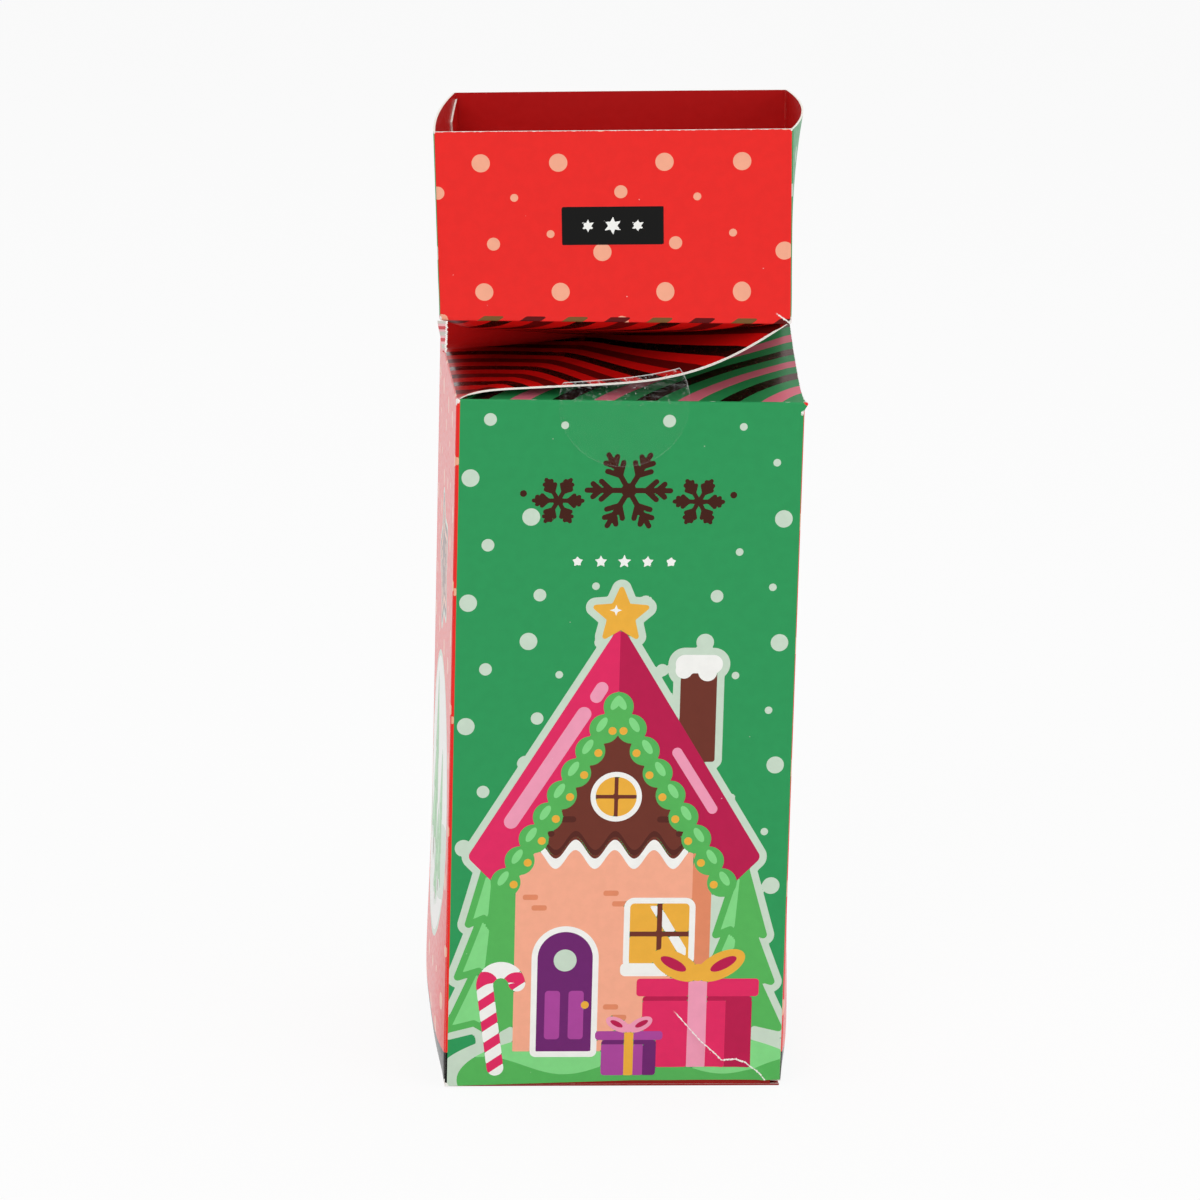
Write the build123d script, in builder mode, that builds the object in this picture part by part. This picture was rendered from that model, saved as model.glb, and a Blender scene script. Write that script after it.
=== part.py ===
from build123d import *
from math import atan2, degrees, hypot, radians, sin, cos
import os

os.makedirs("parts", exist_ok=True)

# Driving dimensions in mm and degrees. +Z is up, the front looks along -Y, the origin is the
# middle of the base. Side 0 is the front, then right, back and left, against the clock from above.

# Carton
body_width = 80.0         # outside width of the square tube
body_height = 165.0       # floor to the creases under the neck
neck_height = 18.6        # creases under the neck to the creases of the open end
neck_twist = 84.0         # turn of the open end against the body
end_height = 43.0         # wall of the open end
board = 0.45              # thickness of the folding board
crease_gap = 0.15         # room left along each crease

# Neck facets
slit_gap = 0.3            # cut between neighbouring straps, taken off each facet
fold_clearance = 0.2      # room between two facets beside the line where they would meet
lower_tip_cut = 14.0      # blunt tip of a lower facet, clears the open end as it turns
upper_tip_cut = 4.0       # blunt tip of an upper facet, clears the body's corner

# Seam
glue_flap_width = 14.0
glue_flap_inset = 4.0     # glue flap's ends below and above the wall's ends
glue_flap_taper = 4.0     # slant of the glue flap's ends

# Tuck end
lid_side_gap = 0.3        # lid short of the outside walls at its two sides
front_edge_height = 1.6   # front panel's cut edge above the floor, shows the lid's fold
tab_height = 13.0
tab_side_gap = 2.0        # tab short of the side walls
tab_front_gap = 0.3       # tab behind the front panel
tab_corner_radius = 7.0
flap_length = 34.0        # dust flap, from the side wall inward
flap_lid_gap = 0.3        # dust flap above the lid
flap_tab_gap = 0.8        # dust flap behind the tuck tab
flap_back_gap = 1.0       # dust flap short of the back wall at its crease
flap_front_slant = 8.0    # slant of the dust flap's front edge
flap_back_slant = 45.0    # slant of its edge beside the lid's crease
flap_corner_radius = 5.0

# Seal
seal_diameter = 30.0
seal_offset = -1.6        # seal's middle from the middle of the front crease
seal_film = 0.12

side_names = ["front", "right", "back", "left"]
end_names = ["right", "back", "left", "front"]   # end wall that each strap runs into

half = body_width / 2 - board                    # inner half width, where the creases turn
inner_width = 2 * half
end_base = body_height + neck_height
lid_top = board
flap_top = lid_top + flap_lid_gap + board
tab_outer = -half + tab_front_gap


def wall_plane(side, turn, height):
    # Inner face of one wall: x along it, y up, z outward, from its lower left inner corner
    angle = 90 * side + turn
    corner = Vector(-half, -half, 0).rotate(Axis.Z, angle) + Vector(0, 0, height)
    along = Vector(1, 0, 0).rotate(Axis.Z, angle)
    outward = Vector(0, -1, 0).rotate(Axis.Z, angle)
    return Plane(origin=corner, x_dir=along, z_dir=outward)


def save(builder, name):
    builder.part.label = name
    export_step(builder.part, f"parts/{name}.step")


# Neck geometry, worked out on the front strap: its far upper corner turns with the end and its
# lower facet leans inward from the front crease to that corner.
upper_corner = Vector(half, -half, 0).rotate(Axis.Z, neck_twist)
strap_overhang = upper_corner.X - half
strap_run = upper_corner.Y + half
strap_length = hypot(strap_run, neck_height)
strap_lean = degrees(atan2(strap_run, neck_height))


def leaned(plane):
    # The same plane turned inward about its x edge by the strap's lean
    lean = radians(strap_lean)
    outward = plane.z_dir * cos(lean) + plane.y_dir * sin(lean)
    return Plane(origin=plane.origin, x_dir=plane.x_dir, z_dir=outward)


def lower_facet_plane(side):
    return leaned(wall_plane(side, 0, body_height))


def upper_facet_plane(side):
    # The upper facet is the lower one turned half round, hanging from the end's crease
    wall = wall_plane(side, neck_twist, end_base)
    hinge_corner = wall.origin + wall.x_dir * inner_width
    return leaned(Plane(origin=hinge_corner, x_dir=-wall.x_dir, z_dir=wall.z_dir))


# Room that boards need beside a fold: a lower facet faces the upper facet of its own strap, and
# an upper facet passes the one of the next strap.
strap_angle = radians(180 - lower_facet_plane(0).z_dir.get_angle(upper_facet_plane(0).z_dir))
neighbour_angle = radians(upper_facet_plane(0).z_dir.get_angle(upper_facet_plane(1).z_dir))
lower_fold_gap = (board * (1 + cos(strap_angle)) + fold_clearance) / sin(strap_angle)
upper_fold_gap = (board + fold_clearance) / sin(neighbour_angle)


def facet_outline(fold_gap, tip_cut):
    # Crease at the bottom, cut edge on the right, fold on the left, blunt tip at the top
    fold_slope = (inner_width + strap_overhang) / strap_length
    slit_slope = strap_overhang / strap_length

    def fold_x(y):
        return fold_slope * y + fold_gap * hypot(1, fold_slope)

    def slit_x(y):
        return inner_width + slit_slope * y - slit_gap * hypot(1, slit_slope)

    low = crease_gap
    high = strap_length - tip_cut
    return [(fold_x(low), low), (slit_x(low), low), (slit_x(high), high), (fold_x(high), high)]


# Four walls of the body. The front and back walls close the corners of the tube.
wall_foot = [front_edge_height, flap_top + crease_gap, lid_top + crease_gap, flap_top + crease_gap]

for side, name in enumerate(side_names):
    corner_lap = board if side % 2 == 0 else 0
    with BuildPart() as body_panel:
        with BuildSketch(wall_plane(side, 0, wall_foot[side])):
            with Locations((inner_width / 2, 0)):
                Rectangle(
                    inner_width + 2 * corner_lap,
                    body_height - wall_foot[side],
                    align=(Align.CENTER, Align.MIN),
                )
        extrude(amount=board)
    save(body_panel, f"body_{name}_panel")

# Four walls of the open end
for side, name in enumerate(end_names):
    corner_lap = board if side % 2 == 0 else 0
    with BuildPart() as end_panel:
        with BuildSketch(wall_plane(side, neck_twist, end_base + crease_gap)):
            with Locations((inner_width / 2, 0)):
                Rectangle(
                    inner_width + 2 * corner_lap,
                    end_height - crease_gap,
                    align=(Align.CENTER, Align.MIN),
                )
        extrude(amount=board)
    save(end_panel, f"end_{name}_panel")

# Glue flaps of the seam, inside the third wall of the body and of the end
seams = [("body_glue_flap", 0, 0, body_height), ("end_glue_flap", neck_twist, end_base, end_height)]

for name, turn, foot, height in seams:
    with BuildPart() as glue_flap:
        with BuildSketch(wall_plane(2, turn, foot)):
            with BuildLine():
                Polyline(
                    (0, glue_flap_inset),
                    (glue_flap_width, glue_flap_inset + glue_flap_taper),
                    (glue_flap_width, height - glue_flap_inset - glue_flap_taper),
                    (0, height - glue_flap_inset),
                    close=True,
                )
            make_face()
        extrude(amount=-board)
    save(glue_flap, name)

# Neck: one lower and one upper facet to each strap
for side, name in enumerate(side_names):
    with BuildPart() as lower_facet:
        with BuildSketch(lower_facet_plane(side)):
            with BuildLine():
                Polyline(*facet_outline(lower_fold_gap, lower_tip_cut), close=True)
            make_face()
        extrude(amount=board)
    save(lower_facet, f"neck_{name}_lower")

    with BuildPart() as upper_facet:
        with BuildSketch(upper_facet_plane(side)):
            with BuildLine():
                Polyline(*facet_outline(upper_fold_gap, upper_tip_cut), close=True)
            make_face()
        extrude(amount=board)
    save(upper_facet, f"neck_{name}_upper")

# Tuck end: the lid lies on the floor and reaches under the tab that stands behind the front panel
with BuildPart() as bottom_lid:
    with BuildSketch(Plane.XY):
        with Locations((0, tab_outer)):
            Rectangle(
                body_width - 2 * lid_side_gap,
                half - crease_gap - tab_outer,
                align=(Align.CENTER, Align.MIN),
            )
    extrude(amount=board)
save(bottom_lid, "bottom_lid")

tab_plane = Plane(origin=(0, tab_outer + board, lid_top), x_dir=(1, 0, 0), z_dir=(0, -1, 0))

with BuildPart() as bottom_tuck_tab:
    with BuildSketch(tab_plane) as tab_outline:
        with Locations((0, crease_gap)):
            Rectangle(
                inner_width - 2 * tab_side_gap,
                tab_height - crease_gap,
                align=(Align.CENTER, Align.MIN),
            )
        fillet(tab_outline.vertices().group_by(Axis.Y)[-1], radius=tab_corner_radius)
    extrude(amount=board)
save(bottom_tuck_tab, "bottom_tuck_tab")

# Dust flaps: straight beside the tab, slanted beside the lid's crease, mirrored left to right
flap_front = tab_outer + board + flap_tab_gap
flap_back = half - flap_back_gap
flap_run = flap_length - crease_gap
flap_tip_front = flap_front + flap_run * sin(radians(flap_front_slant)) / cos(radians(flap_front_slant))
flap_tip_back = flap_back - flap_run * sin(radians(flap_back_slant)) / cos(radians(flap_back_slant))

for name, outward in [("left", -1), ("right", 1)]:
    crease_x = outward * (half - crease_gap)
    tip_x = outward * (half - flap_length)
    with BuildPart() as dust_flap:
        with BuildSketch(Plane.XY.offset(flap_top - board)) as flap_outline:
            with BuildLine():
                Polyline(
                    (crease_x, flap_front),
                    (crease_x, flap_back),
                    (tip_x, flap_tip_back),
                    (tip_x, flap_tip_front),
                    close=True,
                )
            make_face()
            tip_corners = flap_outline.vertices().filter_by_position(Axis.X, tip_x - 0.01, tip_x + 0.01)
            fillet(tip_corners, radius=flap_corner_radius)
        extrude(amount=board)
    save(dust_flap, f"bottom_dust_flap_{name}")

# Seal: a round clear film across the front crease, half on the front panel, half on the neck
seal_planes = [
    ("seal_body_half", wall_plane(0, 0, body_height).offset(board), -1),
    ("seal_neck_half", lower_facet_plane(0).offset(board), 1),
]

for name, plane, up in seal_planes:
    seal_rows = Align.MIN if up > 0 else Align.MAX
    with BuildPart() as seal_half:
        with BuildSketch(plane):
            with Locations((inner_width / 2 + seal_offset, 0)):
                Circle(seal_diameter / 2)
            with Locations((inner_width / 2 + seal_offset, up * crease_gap)):
                Rectangle(
                    seal_diameter,
                    seal_diameter,
                    align=(Align.CENTER, seal_rows),
                    mode=Mode.INTERSECT,
                )
        extrude(amount=seal_film)
    save(seal_half, name)
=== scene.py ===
import math
import bpy
import numpy as np
from mathutils import Matrix, Vector


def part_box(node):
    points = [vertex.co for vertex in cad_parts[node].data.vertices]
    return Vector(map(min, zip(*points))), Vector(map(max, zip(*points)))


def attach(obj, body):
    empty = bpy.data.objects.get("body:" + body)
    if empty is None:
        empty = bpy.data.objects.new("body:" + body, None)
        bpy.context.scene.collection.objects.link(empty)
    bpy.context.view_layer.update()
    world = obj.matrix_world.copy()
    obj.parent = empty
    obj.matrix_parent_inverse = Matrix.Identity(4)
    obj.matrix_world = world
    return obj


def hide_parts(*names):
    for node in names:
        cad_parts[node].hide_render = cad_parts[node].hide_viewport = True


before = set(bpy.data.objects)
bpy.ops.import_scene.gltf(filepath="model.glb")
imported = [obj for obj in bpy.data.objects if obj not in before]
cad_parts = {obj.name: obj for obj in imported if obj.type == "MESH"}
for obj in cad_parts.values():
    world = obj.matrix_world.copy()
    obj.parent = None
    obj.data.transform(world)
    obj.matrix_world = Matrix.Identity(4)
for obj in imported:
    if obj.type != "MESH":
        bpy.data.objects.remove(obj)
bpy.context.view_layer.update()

mm = 0.001
up = np.array([0.0, 0.0, 1.0])

# Sizes in mm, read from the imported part
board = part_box("bottom_lid")[1].z / mm
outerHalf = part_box("body_front_panel")[1].x / mm
half = outerHalf - board            # inner faces, where the creases lie
wallWidth = 2 * half
creaseGap = 0.15                    # room that the part leaves along each crease
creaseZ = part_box("body_front_panel")[1].z / mm
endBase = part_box("end_front_panel")[0].z / mm - creaseGap
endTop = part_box("end_front_panel")[1].z / mm
endHeight = endTop - endBase
neckHeight = endBase - creaseZ
twist = 84.0                        # turn of the open end against the body, in degrees

# Upper corner of the front strap, and from it the lean and length of every strap
cornerTurn = math.radians(twist - 45)
cornerX = half * math.sqrt(2) * math.cos(cornerTurn)
cornerY = half * math.sqrt(2) * math.sin(cornerTurn)
overhang = cornerX - half
strapRun = cornerY + half
foldRun = wallWidth + overhang      # how far a strap's fold runs sideways from crease to crease
strapLength = math.hypot(strapRun, neckHeight)
strapLean = math.atan2(strapRun, neckHeight)
print("frame read, board", round(board, 2), "strap", round(strapLength, 2),
      "lean", round(math.degrees(strapLean), 2))


# Inks, written as they look on the sheet, except the lid's red, which is darkened as painted shade
inkColours = {
    "green": (45, 155, 90),
    "red": (242, 42, 38),
    "mint": (205, 224, 205),
    "peach": (252, 176, 146),
    "hotPink": (231, 42, 100),
    "deepPink": (190, 24, 78),
    "lightPink": (246, 160, 188),
    "stripePink": (226, 112, 132),
    "midGreen": (88, 184, 92),
    "lightGreen": (134, 222, 138),
    "pineGreen": (24, 112, 64),
    "purple": (112, 36, 112),
    "plum": (176, 72, 160),
    "umber": (88, 38, 30),
    "gold": (243, 180, 64),
    "brown": (112, 52, 40),
    "tan": (232, 142, 104),
    "white": (250, 250, 246),
    "black": (8, 8, 7),
    "foil": (70, 36, 28),
    "maroon": (96, 8, 8),
    "strapGreen": (42, 140, 80),
    "strapRed": (206, 16, 14),
    "inside": (192, 24, 24),
    # The tuck end's red, darkened as painted shade for the lid strip that lies in shadow
    "shadedLidRed": (158, 26, 22),
    "fibre": (252, 249, 243),
    "pulp": (236, 229, 216),
    "lapFoil": (122, 86, 44),
    "fadedPink": (236, 186, 190),
    "fadedGrey": (206, 200, 192),
    "fadedRed": (210, 92, 98),
}


def ink(name):
    # Screen value to linear light: below the knee a straight line, above it a power of 2.4
    value = np.array(inkColours[name]) / 255
    linear = np.where(value <= 0.04045, value / 12.92, ((value + 0.055) / 1.055) ** 2.4)
    return (*[float(v) for v in linear], 1.0)


# Node helpers: an input takes a constant or another node's output
def feed(tree, node, inputs):
    for key, value in inputs.items():
        if isinstance(value, bpy.types.NodeSocket):
            tree.links.new(value, node.inputs[key])
        else:
            node.inputs[key].default_value = value


def addNode(tree, kind, inputs=None, **settings):
    made = tree.nodes.new(kind)
    for key, value in settings.items():
        setattr(made, key, value)
    feed(tree, made, inputs or {})
    return made


def calc(tree, operation, *values):
    return addNode(tree, "ShaderNodeMath", dict(enumerate(values)), operation=operation).outputs[0]


def times(tree, first, second):
    return calc(tree, "MULTIPLY", first, second)


def plus(tree, first, second):
    return calc(tree, "ADD", first, second)


def minus(tree, first, second):
    return calc(tree, "SUBTRACT", first, second)


def most(tree, first, second):
    return calc(tree, "MAXIMUM", first, second)


def blendColour(tree, factor, under, over):
    return addNode(tree, "ShaderNodeMix", {0: factor, 6: under, 7: over}, data_type="RGBA").outputs[2]


def scaled(tree, vector, factor):
    return addNode(tree, "ShaderNodeVectorMath", {0: vector, "Scale": factor}, operation="SCALE").outputs[0]


def ramp(tree, value, low, high, start=0.0, end=1.0):
    inputs = {0: value, 1: low, 2: high, 3: start, 4: end}
    return addNode(tree, "ShaderNodeMapRange", inputs, interpolation_type="SMOOTHSTEP").outputs[0]


def noise(tree, vector, scale, detail=3.0, rough=0.55):
    inputs = {"Vector": vector, "Scale": scale, "Detail": detail, "Roughness": rough}
    return addNode(tree, "ShaderNodeTexNoise", inputs).outputs[0]


def cellDistance(tree, vector, scale):
    return addNode(tree, "ShaderNodeTexVoronoi", {"Vector": vector, "Scale": scale}).outputs[0]


def bumpNormal(tree, height, strength, distance):
    inputs = {"Strength": strength, "Distance": distance, "Height": height}
    return addNode(tree, "ShaderNodeBump", inputs).outputs[0]


def newGroup(name, inputs, outputs):
    group = bpy.data.node_groups.new(name, "ShaderNodeTree")
    for label, kind in inputs:
        group.interface.new_socket(label, in_out="INPUT", socket_type="NodeSocket" + kind)
    for label, kind in outputs:
        group.interface.new_socket(label, in_out="OUTPUT", socket_type="NodeSocket" + kind)
    return group, group.nodes.new("NodeGroupInput"), group.nodes.new("NodeGroupOutput")


# Paper grain: fine fibre noise and broad waves for the height, slow mottles for the ink and the shine
grainSet = {"fineScale": 2.6, "fineHeight": 0.35, "broadScale": 0.09, "broadHeight": 2.2,
            "mottleScale": 0.35, "mottle": (0.975, 1.02), "shineScale": 0.7, "shine": (-0.05, 0.07)}
grain, grainIn, grainOut = newGroup(
    "boardGrain", [("Sheet", "Vector")], [("Height", "Float"), ("Mottle", "Float"), ("Shine", "Float")])
place = grainIn.outputs["Sheet"]
fine = times(grain, noise(grain, place, grainSet["fineScale"], 4.0), grainSet["fineHeight"])
broad = times(grain, noise(grain, place, grainSet["broadScale"], 2.0), grainSet["broadHeight"])
mottle = noise(grain, place, grainSet["mottleScale"], 5.0)
shine = noise(grain, place, grainSet["shineScale"], 4.0)
feed(grain, grainOut, {"Height": plus(grain, fine, broad),
                       "Mottle": ramp(grain, mottle, 0.3, 0.7, *grainSet["mottle"]),
                       "Shine": ramp(grain, shine, 0.35, 0.7, *grainSet["shine"])})

# Rim wear: white fibre where a noise reaches further than the distance to the nearest rim
wearSet = {"scale": 1.1, "power": 3.0, "soft": 0.08}
wear, wearIn, wearOut = newGroup(
    "rimWear", [("Sheet", "Vector"), ("Rim", "Float"), ("Reach", "Float")], [("Mask", "Float")])
bite = noise(wear, wearIn.outputs["Sheet"], wearSet["scale"], 6.0, 0.7)
bite = times(wear, calc(wear, "POWER", bite, wearSet["power"]), wearIn.outputs["Reach"])
feed(wear, wearOut, {"Mask": ramp(wear, minus(wear, bite, wearIn.outputs["Rim"]), 0.0, wearSet["soft"])})

# Dust specks: the cores of a cell pattern, kept only where a slow noise allows
dustSet = {"scale": 0.28, "core": 0.035, "allowScale": 0.12}
dust, dustIn, dustOut = newGroup(
    "dustSpecks", [("Sheet", "Vector"), ("Amount", "Float")], [("Mask", "Float")])
core = cellDistance(dust, dustIn.outputs["Sheet"], dustSet["scale"])
core = calc(dust, "LESS_THAN", core, dustSet["core"])
allow = noise(dust, dustIn.outputs["Sheet"], dustSet["allowScale"], 2.0)
allow = calc(dust, "LESS_THAN", allow, dustIn.outputs["Amount"])
feed(dust, dustOut, {"Mask": times(dust, core, allow)})

# Slanted stripes: place along the crease less the stripe's run at that height, wrapped by the period.
# The run grows slowly beside the crease, then by a straight slant, and a little less far up. The second
# stripes lie half a period from the first. Twenty whole periods keep the wrapped value positive.
stripeSet = {"period": 19.2, "width": 4.7, "slant": 1.456, "bend": 6.0, "bendLength": 8.0,
             "easeFrom": 34.0, "easeSoft": 14.0, "ease": 0.37}
stripes, stripesIn, stripesOut = newGroup(
    "slantStripes", [("Sheet", "Vector"), ("Start", "Float")], [("First", "Float"), ("Second", "Float")])
place = addNode(stripes, "ShaderNodeSeparateXYZ", {0: stripesIn.outputs["Sheet"]})
height = place.outputs[1]
fade = calc(stripes, "EXPONENT", calc(stripes, "DIVIDE", height, -stripeSet["bendLength"]))
slow = times(stripes, minus(stripes, 1.0, fade), stripeSet["bend"])
run = minus(stripes, times(stripes, height, stripeSet["slant"]), slow)
beyond = minus(stripes, height, stripeSet["easeFrom"])
beyond = calc(stripes, "SMOOTH_MAX", beyond, 0.0, stripeSet["easeSoft"])
run = minus(stripes, run, times(stripes, beyond, stripeSet["ease"]))
offset = minus(stripes, minus(stripes, place.outputs[0], run), stripesIn.outputs["Start"])
for order, label in enumerate(("First", "Second")):
    phase = plus(stripes, offset, stripeSet["period"] * (20.5 - 0.5 * order))
    phase = calc(stripes, "MODULO", phase, stripeSet["period"])
    off = calc(stripes, "ABSOLUTE", minus(stripes, phase, stripeSet["period"] / 2))
    feed(stripes, stripesOut, {label: calc(stripes, "LESS_THAN", off, stripeSet["width"] / 2)})


# Materials
sheetUnit = 100.0       # mm of board to one unit of the flat map
boardFinish = {"roughness": 0.36, "specular": 0.12, "foilRoughness": 0.22, "foilMetal": 0.85,
               "coat": 0.06, "sideCoat": 0.42, "coatRoughness": 0.14, "wearReach": 0.8,
               "dust": 0.43, "dustStrength": 0.5, "bump": (0.25, 0.00006)}


def newMaterial(name):
    made = bpy.data.materials.new(name)
    made.use_nodes = True
    return made, made.node_tree, made.node_tree.nodes["Principled BSDF"]


def useGroup(tree, group, **inputs):
    return addNode(tree, "ShaderNodeGroup", inputs, node_tree=group)


def sheetPlace(tree):
    # The flat sheet's own place in mm
    return scaled(tree, addNode(tree, "ShaderNodeUVMap", uv_map="flat").outputs[0], sheetUnit)


def attributeValue(tree, name):
    return addNode(tree, "ShaderNodeAttribute", attribute_name=name).outputs["Fac"]


def finishBoard(tree, shader, colour, foilMask, sheet, worn=True, coat=boardFinish["coat"]):
    grained = useGroup(tree, grain, Sheet=sheet)
    colour = scaled(tree, colour, grained.outputs["Mottle"])
    if worn:
        rim = attributeValue(tree, "rim")
        bare = useGroup(tree, wear, Sheet=sheet, Rim=rim, Reach=boardFinish["wearReach"])
        colour = blendColour(tree, bare.outputs[0], colour, ink("fibre"))
        specks = useGroup(tree, dust, Sheet=sheet, Amount=boardFinish["dust"])
        specks = times(tree, specks.outputs[0], boardFinish["dustStrength"])
        colour = blendColour(tree, specks, colour, ink("fibre"))
    rough = plus(tree, grained.outputs["Shine"], boardFinish["roughness"])
    if foilMask is not None:
        gap = boardFinish["foilRoughness"] - boardFinish["roughness"]
        rough = plus(tree, rough, times(tree, foilMask, gap))
        feed(tree, shader, {"Metallic": times(tree, foilMask, boardFinish["foilMetal"])})
    feed(tree, shader, {
        "Base Color": colour, "Roughness": rough, "Specular IOR Level": boardFinish["specular"],
        "Coat Weight": coat, "Coat Roughness": boardFinish["coatRoughness"],
        "Normal": bumpNormal(tree, grained.outputs["Height"], *boardFinish["bump"])})


crackInk = {"scale": 1.3, "power": 2.4, "edge": (0.02, 0.1)}


def printedBoard(name, base, inks, cracked=False, coat=boardFinish["coat"]):
    # Each ink covers what is under it where its distance is negative. A crack shows bare fibre where
    # a ragged noise reaches further than the distance to its line.
    made, tree, shader = newMaterial(name)
    sheet = sheetPlace(tree)
    colour = ink(base)
    foilMask = None
    for inkName in inks:
        mask = calc(tree, "LESS_THAN", attributeValue(tree, "ink_" + inkName), 0.0)
        colour = blendColour(tree, mask, colour, ink(inkName))
        foilMask = mask if inkName == "foil" else foilMask
    if cracked:
        ragged = calc(tree, "POWER", noise(tree, sheet, crackInk["scale"], 5.0, 0.75), crackInk["power"])
        broken = minus(tree, ragged, calc(tree, "ABSOLUTE", attributeValue(tree, "crack")))
        broken = times(tree, ramp(tree, broken, *crackInk["edge"]), attributeValue(tree, "crackSpan"))
        colour = blendColour(tree, broken, colour, ink("fibre"))
    finishBoard(tree, shader, colour, foilMask, sheet, coat=coat)
    return made


def stripedBoard(name, base, first, second, start):
    made, tree, shader = newMaterial(name)
    sheet = sheetPlace(tree)
    bands = useGroup(tree, stripes, Sheet=sheet, Start=start)
    colour = blendColour(tree, bands.outputs["First"], ink(base), ink(first))
    colour = blendColour(tree, bands.outputs["Second"], colour, ink(second))
    finishBoard(tree, shader, colour, bands.outputs["First"], sheet)
    return made


def plainBoard(name, base):
    made, tree, shader = newMaterial(name)
    finishBoard(tree, shader, ink(base)[:3], None, sheetPlace(tree), worn=False)
    return made


def cutBoard(name):
    # Pale pulp with a fine darker mottle, which is its bump too
    made, tree, shader = newMaterial(name)
    pulp = ramp(tree, noise(tree, sheetPlace(tree), 3.0, 6.0, 0.7), 0.3, 0.75)
    feed(tree, shader, {"Base Color": blendColour(tree, pulp, ink("fibre"), ink("pulp")),
                        "Roughness": ramp(tree, pulp, 0.0, 1.0, 0.75, 0.9),
                        "Normal": bumpNormal(tree, pulp, 0.5, 0.00008)})
    return made


filmFinish = {"colour": (0.9, 0.9, 0.88, 1), "veil": 0.004, "rimReach": 2.4, "rimScuff": 0.6,
              "scuff": 0.12, "edgeLine": (0.3, 0.6), "streakStretch": (0.1, 1.6, 1.0), "streak": 0.2,
              "gritScale": 0.75, "grit": (0.03, 0.1, 0.75, 0.0), "roughness": (0.08, 0.45),
              "bump": (0.6, 0.0006)}


def clearFilm(name):
    # See-through, with pale marks: scuffs near its rim, a thin pale edge, long streaks and specks of grit.
    # They are partly real scuffs and partly painted reflection on the film where it stands up. All of them
    # fade where the film is stuck down flat.
    made, tree, shader = newMaterial(name)
    sheet = sheetPlace(tree)
    rim = attributeValue(tree, "rim")
    lifted = attributeValue(tree, "scuffAndReflection")
    nearRim = ramp(tree, rim, 0.0, filmFinish["rimReach"], 1.0, 0.0)
    scuff = ramp(tree, noise(tree, sheet, 0.9, 8.0, 0.75), 0.54, 0.66)
    weight = plus(tree, times(tree, nearRim, filmFinish["rimScuff"]), filmFinish["scuff"])
    scuff = times(tree, scuff, times(tree, lifted, weight))
    lineWidth, lineStrength = filmFinish["edgeLine"]
    edgeLine = times(tree, ramp(tree, rim, 0.0, lineWidth, lineStrength, 0.0), lifted)
    stretch = {0: sheet, 1: filmFinish["streakStretch"]}
    long = addNode(tree, "ShaderNodeVectorMath", stretch, operation="MULTIPLY").outputs[0]
    streak = times(tree, ramp(tree, noise(tree, long, 0.5, 6.0, 0.7), 0.55, 0.75), filmFinish["streak"])
    grit = ramp(tree, cellDistance(tree, sheet, filmFinish["gritScale"]), *filmFinish["grit"])
    streak = times(tree, most(tree, streak, grit), lifted)
    # The white veil is partly painted reflection on the lifted film
    veil = plus(tree, most(tree, most(tree, scuff, streak), edgeLine), filmFinish["veil"])
    feed(tree, shader, {"Base Color": filmFinish["colour"], "Alpha": veil,
                        "Roughness": ramp(tree, scuff, 0.0, 0.5, *filmFinish["roughness"]),
                        "Normal": bumpNormal(tree, noise(tree, sheet, 0.22, 4.0), *filmFinish["bump"])})
    return made


insideBoard = plainBoard("insideBoard", "inside")
# The lid board's red is darkened as painted shade
shadedLidBoard = plainBoard("shadedLidBoard", "shadedLidRed")
cutEdge = cutBoard("cutEdge")
filmClear = clearFilm("filmClear")
print("materials made")


# Sheets: grids of the inner face, with rows up the sheet and columns to its right. u and v are the place
# on the flat board in mm, and marks are values that the materials read.
def wallAxes(side, turn):
    # Along a wall and out of it: side 0 is the front, then right, back and left
    angle = math.radians(90 * side + turn)
    along = np.array([math.cos(angle), math.sin(angle), 0.0])
    outward = np.array([math.sin(angle), -math.cos(angle), 0.0])
    return along, outward


def addObject(name, data):
    made = bpy.data.objects.new(name, data)
    bpy.context.scene.collection.objects.link(made)
    return made


def gridFaces(index):
    return np.stack([index[:-1, :-1], index[:-1, 1:], index[1:, 1:], index[1:, :-1]], -1).reshape(-1, 4)


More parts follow.
